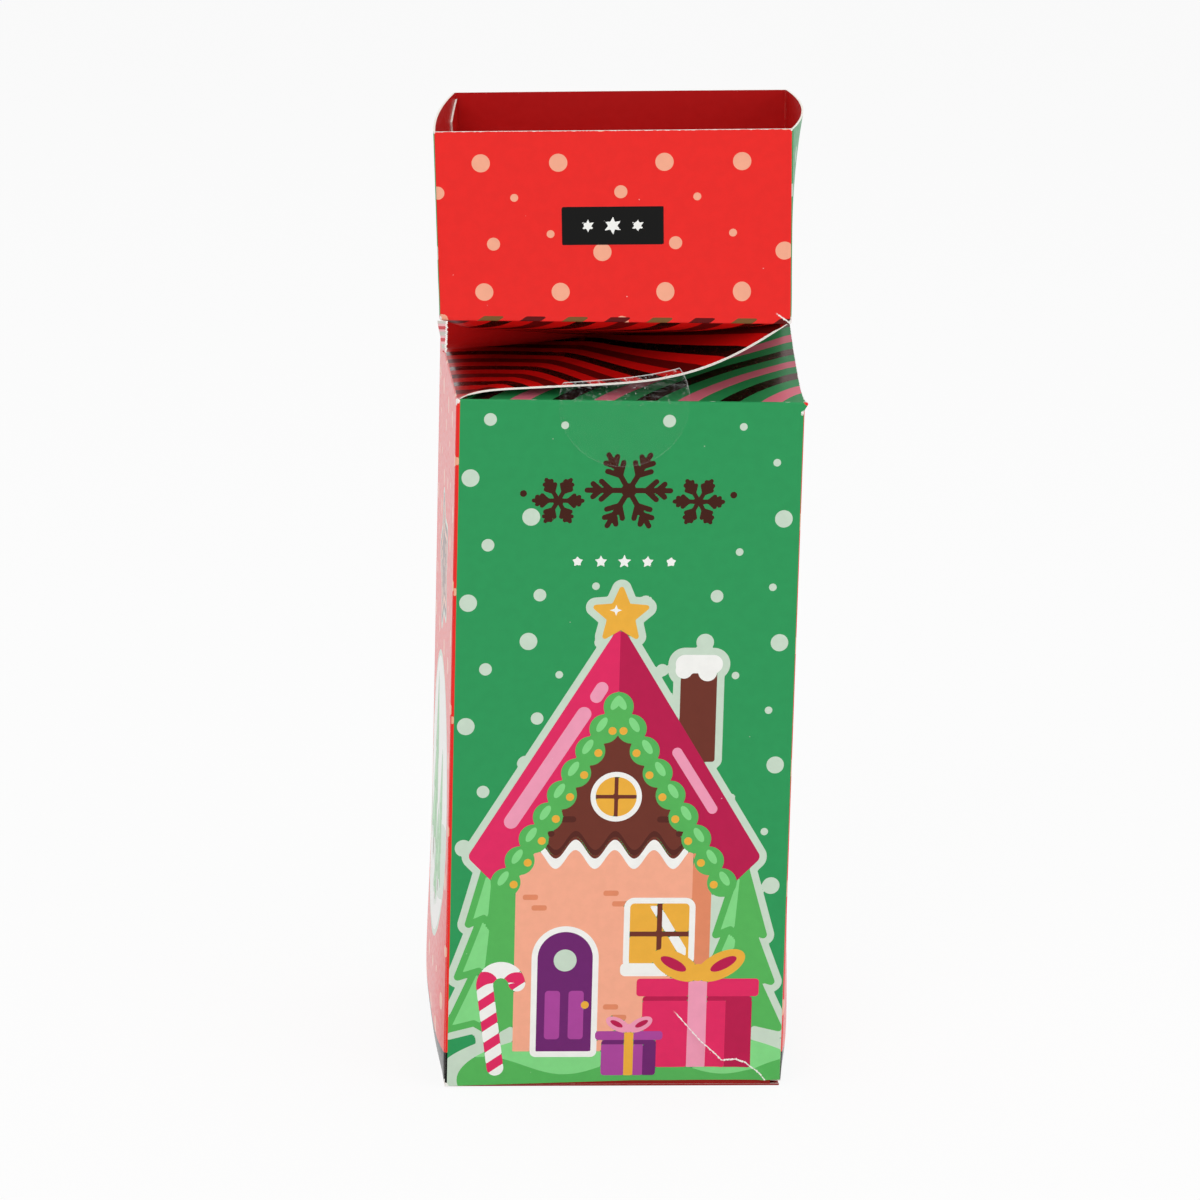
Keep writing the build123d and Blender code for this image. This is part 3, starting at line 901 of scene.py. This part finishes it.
# Open end: rolled a little to its left and tipped back, spread towards its top, side walls bowed.
# The neck takes a share of that turn, which dies out at the body's creases.
endSet = {"rows": 108, "cols": 196, "innerStep": 5, "roll": 2.05, "pitch": 1.12, "creaseShare": 0.5,
          "blend": 9.0, "spread": 0.012, "bowPower": 2.6, "leftBow": 1.3, "dotX": 10.4, "dotDrop": 7.2,
          "lap": 0.75, "lapSlant": 1.4, "lapWidth": 4.8, "lapFrom": 8.0, "foilStart": 11.6,
          "pairStart": 21.2, "plate": (39.7, 21.4), "plateSize": (22.9, 8.7, 0.15), "plateStep": 5.6,
          "tearX": 76.4, "tearRise": 1.9, "tearSlope": 0.62}


def settle(points):
    x, y, z = points[..., 0], points[..., 1], points[..., 2] - endBase
    low = endSet["creaseShare"] * np.clip(1 + z / neckHeight, 0, 1)
    share = low + (1 - endSet["creaseShare"]) * np.clip(z / endSet["blend"], 0, 1)
    roll, pitch = share * math.radians(endSet["roll"]), share * math.radians(endSet["pitch"])
    wide = 1 + endSet["spread"] * np.clip(z / endHeight, 0, 1)
    return np.stack([x * wide - roll * z, y * wide + pitch * z, z + roll * x - pitch * y + endBase], -1)


def endRise(z):
    # Share of a wall's bow at a height: nothing at the crease, all of it at the rim
    return np.clip((z - endBase) / endHeight, 0, 1) ** endSet["bowPower"]


endWalls = ((0, "right", "green", "mint", 3.0), (1, "back", "red", "peach", 0.4),
            (2, "left", "green", "mint", endSet["leftBow"]), (3, "front", "red", "peach", 0.3))
for side, name, base, dotInk, bow in endWalls:
    isFront = name == "front"
    sheet = wallSheet(side, twist, endBase, endTop, endSet["rows"], endSet["cols"], rollLow=True)
    coarsen(sheet, endSet["innerStep"])
    x, z = sheet["u"], sheet["v"]
    bulge(sheet, bow, endRise(z))
    sheet["inner"] = settle(sheet["inner"])
    art = newPrint(sheet)
    polkaDots(art, dotInk, endSet["dotX"], endTop - endSet["dotDrop"])
    # The neck's stripes lap a little over the crease
    lap = z - endBase - endSet["lap"]
    lap = overlap(lap, endSet["lapFrom"] - x) if isFront else lap
    pairInk = "maroon" if base == "red" else "stripePink"
    for inkName, start in (("lapFoil", endSet["foilStart"]), (pairInk, endSet["pairStart"])):
        off = wrapped(x - start - (z - endBase) * endSet["lapSlant"], stripeSet["period"])
        paint(art, inkName, overlap(lap, (np.abs(off) - endSet["lapWidth"] / 2) * 0.6))
    fray(sheet, *[(edge, level, 0.5) for edge in (0, 2 * outerHalf) for level in (endBase, endTop)])
    if isFront:
        paint(art, "peach", disc(x, z, 0.4, endBase - 0.35, 1.1))
        plateX, plateZ = endSet["plate"][0], endBase + endSet["plate"][1]
        paint(art, "black", slab(x, z, plateX, plateZ, *endSet["plateSize"]))
        for step in (-1, 0, 1):
            size = 2.3 - 0.6 * abs(step)
            paint(art, "white", star(x, z, plateX + step * endSet["plateStep"], plateZ, 6, size, size * 0.42))
        tear = z - endBase - endSet["tearRise"] + (x - endSet["tearX"]) * endSet["tearSlope"]
        sheet["marks"]["crack"] = tear * 0.85
        sheet["marks"]["crackSpan"] = np.clip((x - endSet["tearX"]) / 0.8, 0, 1)
    printed = printedBoard(name + "EndPrint", base, inkMarks(sheet, art), cracked=isFront)
    boardSheet(f"end_{name}_sheet", sheet, [printed, insideBoard, cutEdge], "end",
               [f"end_{name}_panel"])
print("open end made")

# Neck: two facets to a strap. Both boards at a slit sag together, so that their cut edges stay paired. The
# back strap's lower facet is a tongue that droops further.
stripedGreen = stripedBoard("stripedGreen", "strapGreen", "foil", "stripePink", 4.6)
stripedRed = stripedBoard("stripedRed", "strapRed", "foil", "maroon", 4.3)
neck = {"rows": 64, "cols": 56, "tip": 1.2, "hollow": (1.6, 0.5, 1.6, 1.6),
        "foldTaper": 2.5, "foldThin": 0.06, "slitThin": 0.5, "slitTaper": 2.0,
        # sag at the slit beside each strap's left edge: amount, skew along it, how it dies inward, and lift
        "slits": [(6.3, 1.7, 1.5, 1.1), (1.0, 1.2, 1.5, 0.0), (4.0, 1.3, 1.5, 0.35), (0.0, 1.5, 1.5, 0.0)],
        "tongue": (6.2, 2.4, 0.65, 0.0), "liftPeak": 0.07, "liftDecay": 6,
        # soft bend of the upper facets under the end's crease: depth, then how it rises and dies out
        "bendDrop": (0.7, 0.7, 0.7, 1.9), "bendRun": 3.6, "bendDecay": 22.0, "bendFold": 9.0, "bendSlit": 6.0}


def slitSag(profile, share, reach):
    # The cut edges lift a little beside the body's corner, then sag. Both die out towards the
    # neck's middle.
    amount, skew, decay, lift = profile
    along = share / neck["liftPeak"]
    sag = amount * np.sin(math.pi * share ** skew) * reach ** decay
    return sag - lift * along * np.exp(1 - along) * reach ** neck["liftDecay"]


def facetSheet(side, isUpper):
    # A triangle: crease along the bottom, fold on the left, slit on the right, blunt tip on top.
    # The upper facet is the lower one turned half round and hung from the end's crease.
    along, outward = wallAxes(side, twist if isUpper else 0)
    origin = half * outward + (half * along + endBase * up if isUpper else -half * along + creaseZ * up)
    xAxis, yAxis = (-along, -up) if isUpper else (along, up)
    normal = outward * math.cos(strapLean) + yAxis * math.sin(strapLean)
    climb = yAxis * math.cos(strapLean) - outward * math.sin(strapLean)
    slit = side if isUpper else (side + 1) % 4
    share = np.linspace(0, 1 - neck["tip"] / strapLength, neck["rows"])[:, None]
    v = share * strapLength + np.zeros((1, neck["cols"]))
    foldU = share * foldRun
    slitU = wallWidth + share * overhang - neck["hollow"][slit] * 4 * share * (1 - share)
    u = foldU + np.linspace(0, 1, neck["cols"])[None, :] * (slitU - foldU)
    # Shares of the triangle's three corners, and from them the place between slit and neck centre
    atTip = v / strapLength
    atSlit = (u - foldRun * atTip) / wallWidth
    atFold = 1 - atTip - atSlit
    near, far = (atTip - atFold, atSlit) if isUpper else (atSlit, atTip - atFold)
    reach = np.maximum(near + far, 1e-6)
    turnShare = np.clip(far / reach, 0, 1)
    profile = neck["tongue"] if side == 2 and not isUpper else neck["slits"][slit]
    sag = np.where((near > 0) & (far > 0), slitSag(profile, turnShare, np.clip(reach, 0, 1)), 0.0)
    fromFold = atSlit * wallWidth * strapLength / math.hypot(foldRun, strapLength)
    fromSlit = slitU - u
    if isUpper:
        soft = (1 - np.exp(-v / neck["bendRun"])) * np.exp(-v / neck["bendDecay"])
        soft = soft * np.clip(fromFold / neck["bendFold"], 0, 1)
        soft = soft * np.clip(fromSlit / neck["bendSlit"], 0, 1)
        sag = sag + neck["bendDrop"][side] * soft
    inner = settle(origin + u[..., None] * xAxis + v[..., None] * climb - sag[..., None] * up)
    if side == 0 and not isUpper:
        chip = front["chip"] * np.exp(-np.hypot(wallWidth - u, v) / 2.5)
        inner = inner + chip[..., None] * xAxis
    # Thin beside the fold, so that the strap's two facets meet there, and a little at the slit
    thick = board * np.clip(fromFold / neck["foldTaper"], neck["foldThin"], 1)
    thick = thick - board * neck["slitThin"] * np.clip(1 - fromSlit / neck["slitTaper"], 0, 1)
    sheet = {"inner": inner, "outward": normal, "thick": thick, "u": foldRun - u if isUpper else u,
             "v": strapLength - v if isUpper else v, "marks": {"rim": np.maximum(fromSlit, 0.0)}}
    # Scuffs where the straps rub at the neck's centre and at the worn corners of the slits
    fray(sheet, (foldRun / 2, strapLength / 2, 0.7), (wallWidth, 0, 0.9), (overhang, strapLength, 0.7))
    return sheet


for side, name in enumerate(("front", "right", "back", "left")):
    striped = stripedGreen if side % 2 == 0 else stripedRed
    for level in ("lower", "upper"):
        piece = f"neck_{name}_{level}"
        boardSheet(piece + "_sheet", facetSheet(side, level == "upper"), [striped, insideBoard, cutEdge],
                   piece, [piece])

# Torn scrap: a short strip of the back strap's tip left hanging at the end's front left corner, with
# a ragged white edge. Its waver comes from a few sines.
scrap = {"wide": 2.3, "taper": 0.62, "tall": 7.4, "thick": 0.3, "rows": 40, "cols": 10, "ripple": 0.25,
         "stripe": 2.9, "secondStart": 1.45, "bareEdge": 0.35, "overCorner": 0.9, "drop": 0.4,
         "across": (0.985, -0.17, 0.0), "rise": (-0.17, 0.12, 0.98), "outward": (-0.17, -0.985, 0.0)}
down = np.linspace(1, 0, scrap["rows"])[:, None]
ragged = 0.12 * np.sin(down * 41) * np.sin(down * 5 + 0.4) + 0.08 * np.sin(down * 97)
ragged = ragged + 0.06 * np.sin(down * 151 + 2)
scrapU = np.linspace(0, 1, scrap["cols"]) * (scrap["wide"] * (1 - scrap["taper"] * down) + ragged)
scrapV = (1 - down) * scrap["tall"] + 0 * scrapU
corner = np.array([-cornerX - scrap["overCorner"], -cornerY - scrap["overCorner"], endBase - scrap["drop"]])
outward = np.array(scrap["outward"])
inner = corner + scrapU[..., None] * np.array(scrap["across"])
inner = inner + (scrapV - scrap["tall"])[..., None] * np.array(scrap["rise"])
inner = settle(inner + (scrap["ripple"] * np.sin(scrapV * 1.3))[..., None] * outward)
rim = np.maximum(scrapU[:, -1:] - scrapU - scrap["bareEdge"], 0)
sheet = {"inner": inner, "outward": outward, "thick": scrap["thick"], "u": scrapU, "v": scrapV,
         "marks": {"rim": rim}}
art = newPrint(sheet)
paint(art, "fadedGrey", np.abs(scrapV % scrap["stripe"] - 1.5) - 0.5)
paint(art, "fadedRed", np.abs((scrapV + scrap["secondStart"]) % scrap["stripe"] - 1.5) - 0.4)
scrapPrint = printedBoard("scrapPrint", "fadedPink", inkMarks(sheet, art))
boardSheet("neck_torn_scrap", sheet, [scrapPrint, insideBoard, cutEdge], "end", ())
print("neck made")


# Flat flaps: rows run from the crease to the tip, with a left and a right end at each row
def flapSheet(origin, xAxis, yAxis, outward, runs, lefts, rights, cols):
    share = np.linspace(0, 1, cols)[None, :]
    lefts, rights = lefts[:, None], rights[:, None]
    u = lefts + share * (rights - lefts)
    v = runs[:, None] + 0 * share
    inner = np.array(origin) + u[..., None] * np.array(xAxis) + v[..., None] * np.array(yAxis)
    return {"inner": inner, "outward": np.broadcast_to(np.array(outward, float), inner.shape),
            "thick": board, "u": u, "v": v, "marks": {"rim": union(u - lefts, rights - u, runs[-1] - v)}}


def roundedRows(length, corner, rows):
    # Places along a flap, closer together at its rounded tip, and how far its ends draw in there
    tip = length - corner + corner * np.sin(np.linspace(0, math.pi / 2, 9)[1:])
    runs = np.concatenate([np.linspace(0, length - corner, rows), tip])
    over = np.clip(runs - length + corner, 0, corner)
    return runs, corner - np.sqrt(np.maximum(corner ** 2 - over ** 2, 0))


# Seam: glue flaps inside the back wall of the body and the left wall of the end
seam = {"width": 14.0, "inset": 4.0, "taper": 4.0, "behind": 0.02, "endExtra": 2.5}
for name, turn, foot, tall, body in (("body_glue_flap", 0, 0.0, creaseZ, "carton"),
                                     ("end_glue_flap", twist, endBase, endHeight + seam["endExtra"], "end")):
    along, outward = wallAxes(2, turn)
    runs = np.linspace(0, seam["width"], 10)
    cut = seam["inset"] + seam["taper"] * runs / seam["width"]
    origin = -half * along + (half - board - seam["behind"]) * outward + foot * up
    flap = flapSheet(origin, -up, along, outward, runs, cut - tall, -cut, 40)
    if body == "end":
        # It follows the bow of the wall that it is glued to
        offset = flap["inner"] @ along / half
        bow = endSet["leftBow"] * (1 - offset ** 2) * endRise(flap["inner"][..., 2])
        flap["inner"] = settle(flap["inner"] + bow[..., None] * outward)
    boardSheet(name + "_sheet", flap, [insideBoard, insideBoard, cutEdge], body, [name])

# Tuck end: lid on the floor, its front fold rolled up to the tab, and a dust flap from each side
tuck = {"lidSide": 0.3, "lidGrid": 48, "rollSteps": 7, "tabGap": 0.3, "tabHeight": 13.0, "tabSide": 2.0,
        "tabCorner": 7.0, "flapLength": 34.0, "flapCorner": 5.0, "flapLidGap": 0.3, "flapTabGap": 0.8,
        "flapBackGap": 1.0, "flapFrontSlant": 8, "flapBackSlant": 45, "flapBackDraw": 0.6}
# The lid, tab and dust flaps take the lid board, whose darker red is painted shade
tuckBoards = [shadedLidBoard, insideBoard, cutEdge]
tabY = -half + tuck["tabGap"] + board
lidHalf = outerHalf - tuck["lidSide"]
lidRun = half - creaseGap - tabY
ends = np.full(tuck["lidGrid"], lidHalf)
lid = flapSheet((0, half - creaseGap, board), (1, 0, 0), (0, -1, 0), (0, 0, -1),
                np.linspace(0, lidRun, tuck["lidGrid"]), -ends, ends, tuck["lidGrid"])
# A quarter turn about the tab's foot, carried on as more rows of the lid
edgeX = np.tile(lid["u"][-1], (tuck["rollSteps"], 1))
angles = np.linspace(0, math.pi / 2, tuck["rollSteps"] + 1)[1:, None] + 0 * edgeX
rollNormal = np.stack([0 * edgeX, -np.sin(angles), -np.cos(angles)], -1)
rollCentre = np.stack([edgeX, tabY + 0 * edgeX, board + creaseGap + 0 * edgeX], -1)
lid["inner"] = np.concatenate([lid["inner"], rollCentre + rollNormal * creaseGap])
lid["outward"] = np.concatenate([lid["outward"], rollNormal])
lid["u"] = np.concatenate([lid["u"], edgeX])
lid["v"] = np.concatenate([lid["v"], lidRun + angles * (board + creaseGap)])
lid["marks"]["rim"] = np.concatenate([lid["marks"]["rim"], 1.0 + 0 * edgeX])
boardSheet("bottom_lid_sheet", lid, tuckBoards, "bottom_lid", ["bottom_lid"])

runs, drawIn = roundedRows(tuck["tabHeight"] - creaseGap, tuck["tabCorner"], 10)
tabHalf = half - tuck["tabSide"]
tab = flapSheet((0, tabY, board + creaseGap), (1, 0, 0), (0, 0, 1), (0, -1, 0),
                runs, drawIn - tabHalf, tabHalf - drawIn, 48)
boardSheet("bottom_tuck_tab_sheet", tab, tuckBoards, "bottom_tuck_tab", ["bottom_tuck_tab"])

flapTop = 2 * board + tuck["flapLidGap"]
runs, drawIn = roundedRows(tuck["flapLength"] - creaseGap, tuck["flapCorner"], 14)
frontEdge = tabY + tuck["flapTabGap"] + runs * math.tan(math.radians(tuck["flapFrontSlant"])) + drawIn
backEdge = half - tuck["flapBackGap"] - runs * math.tan(math.radians(tuck["flapBackSlant"]))
backEdge = backEdge - drawIn * tuck["flapBackDraw"]
for name, sign in (("left", -1), ("right", 1)):
    lefts, rights = (frontEdge, backEdge) if sign < 0 else (-backEdge, -frontEdge)
    flap = flapSheet((sign * (half - creaseGap), 0, flapTop), (0, -sign, 0), (-sign, 0, 0), (0, 0, -1),
                     runs, lefts, rights, 24)
    piece = f"bottom_dust_flap_{name}"
    boardSheet(piece + "_sheet", flap, tuckBoards, piece, [piece])
print("seam and tuck end made")

# Seal: a round film across the front crease. Its lower half lies on the front, its upper half
# stands up from the crease to the paired cut edges above and just over them.
seal = {"middle": -1.6, "radius": 15.0, "film": 0.12, "over": (1.45, 2.75), "turn": 1.45, "rows": 44,
        "cols": 64, "offFront": 0.03, "offEdge": 0.1, "pastEdge": 1.3, "wrinkle": 0.22}
around = np.sin(np.linspace(-seal["turn"], seal["turn"], seal["cols"]))
sealX = seal["middle"] + around * seal["radius"]
slitShare = (sealX + half) / strapRun
edgeZ = neckHeight * slitShare - slitSag(neck["slits"][0], slitShare, 1.0)
edgeY = -half - overhang * slitShare
roundDrop = np.sqrt(1 - around ** 2) * seal["radius"]
topLine = np.minimum(edgeZ + np.interp(around, (-1, 1), seal["over"]), roundDrop)
share = np.linspace(-1, 1, seal["rows"])[:, None]
v = np.where(share < 0, share * roundDrop, share * topLine)
lift = np.clip(v / edgeZ, 0, seal["pastEdge"])
y = -outerHalf - seal["offFront"] + lift * (edgeY - seal["offEdge"] + outerHalf - board * 0.2)
wrinkle = np.sin(sealX * 0.9 + 2.2 * v) * np.clip(v / 3, 0, 1) * np.clip(1.2 - lift, 0, 1)
inner = np.stack([sealX + 0 * v, y + seal["wrinkle"] * wrinkle, creaseZ + v], -1)
sideRim = seal["radius"] * (1 - np.abs(around)) * 2.2
rim = np.maximum(np.minimum(sideRim, np.where(share < 0, v + roundDrop, topLine - v)), 0)
# The film's pale marks, partly painted reflection, are weighted by how far it stands up from the front
film = {"inner": inner, "outward": np.array([0.0, -1.0, 0.0]), "thick": seal["film"],
        "u": sealX + 0 * v + 40, "v": v + 20,
        "marks": {"rim": rim, "scuffAndReflection": np.clip(v / 1.5 + 0.6, 0.07, 1)}}
boardSheet("round_seal_film", film, [filmClear], "carton", ["seal_body_half", "seal_neck_half"])
print("seal made")


# Floor, world, lamps, camera
def seenPlainly(tree):
    # One for rays from the camera, from a reflection or through something clear, and nothing for the rest
    path = addNode(tree, "ShaderNodeLightPath").outputs
    return most(tree, path["Is Camera Ray"], most(tree, path["Is Glossy Ray"], path["Is Transmission Ray"]))


floorSet = {"half": 6.0, "level": -0.0001, "tones": (0.894, 0.906), "white": 0.9}
reach, level = floorSet["half"], floorSet["level"]
corners = [(-reach, -reach, level), (reach, -reach, level), (reach, reach, level), (-reach, reach, level)]
mesh = bpy.data.meshes.new("floor")
mesh.from_pydata(corners, [], [(0, 1, 2, 3)])
floor = addObject("floor", mesh)
floorPaper, tree, shader = newMaterial("floorPaper")
mesh.materials.append(floorPaper)
tone = noise(tree, addNode(tree, "ShaderNodeTexCoord").outputs["Object"], 3.0, 2.0)
tone = ramp(tree, tone, 0.2, 0.8, *floorSet["tones"])
feed(tree, shader, {"Base Color": tone, "Roughness": 0.9, "Specular IOR Level": 0.2})
glow = addNode(tree, "ShaderNodeEmission", {"Color": (1, 1, 1, 1), "Strength": 1.0})
white = times(tree, seenPlainly(tree), floorSet["white"])
paper = addNode(tree, "ShaderNodeMixShader", {0: white, 1: shader.outputs[0], 2: glow.outputs[0]})
# From below the paper is clear, so that the tuck end can be looked at
fromBelow = addNode(tree, "ShaderNodeNewGeometry").outputs["Backfacing"]
clear = addNode(tree, "ShaderNodeBsdfTransparent")
paper = addNode(tree, "ShaderNodeMixShader", {0: fromBelow, 1: paper.outputs[0], 2: clear.outputs[0]})
feed(tree, tree.nodes["Material Output"], {0: paper.outputs[0]})

studio = {"soft": 0.5, "aim": (0, 0, 0.11), "lamps": [
    ("keyLamp", (-0.75, -1.5, 1.25), 1.3, 9.8), ("fillLamp", (1.3, -1.2, 0.7), 1.2, 5.4),
    ("topLamp", (0.1, 0.1, 1.7), 1.2, 7.0)]}
world = bpy.data.worlds.new("studioWorld")
bpy.context.scene.world = world
world.use_nodes = True
tree = world.node_tree
strength = addNode(tree, "ShaderNodeMapRange", {0: seenPlainly(tree), 3: studio["soft"], 4: 1.0})
feed(tree, tree.nodes["Background"], {"Color": (1, 1, 1, 1), "Strength": strength.outputs[0]})
for name, place, size, watts in studio["lamps"]:
    lamp = bpy.data.lights.new(name, "AREA")
    lamp.shape, lamp.size, lamp.energy = "DISK", size, watts
    holder = addObject(name, lamp)
    holder.location = place
    holder.rotation_mode = "QUATERNION"
    holder.rotation_quaternion = (Vector(studio["aim"]) - Vector(place)).to_track_quat("-Z", "Y")

camera = {"azimuth": -4.92, "elevation": 13.55, "roll": 1.49, "distance": 1085.2, "focal": 135.9,
          "target": (-2.55, 0.0, 108.96)}
azimuth, elevation, roll = (math.radians(camera[key]) for key in ("azimuth", "elevation", "roll"))
back = np.array([math.sin(azimuth) * math.cos(elevation), -math.cos(azimuth) * math.cos(elevation),
                 math.sin(elevation)])
right = np.cross(-back, up)
right = right / np.linalg.norm(right)
over = np.cross(back, right)
cameraX = math.cos(roll) * right + math.sin(roll) * over
cameraY = -math.sin(roll) * right + math.cos(roll) * over
spot = (np.array(camera["target"]) + camera["distance"] * back) * mm
lens = bpy.data.cameras.new("photoCamera")
lens.lens, lens.sensor_width, lens.sensor_fit = camera["focal"], 36.0, "HORIZONTAL"
lens.clip_start, lens.clip_end = 0.05, 40
viewer = addObject("photoCamera", lens)
viewer.matrix_world = Matrix([[cameraX[i], cameraY[i], back[i], spot[i]] for i in range(3)] + [[0, 0, 0, 1]])
bpy.context.scene.camera = viewer
bpy.context.scene.view_settings.view_transform = "Standard"

print("scene made")
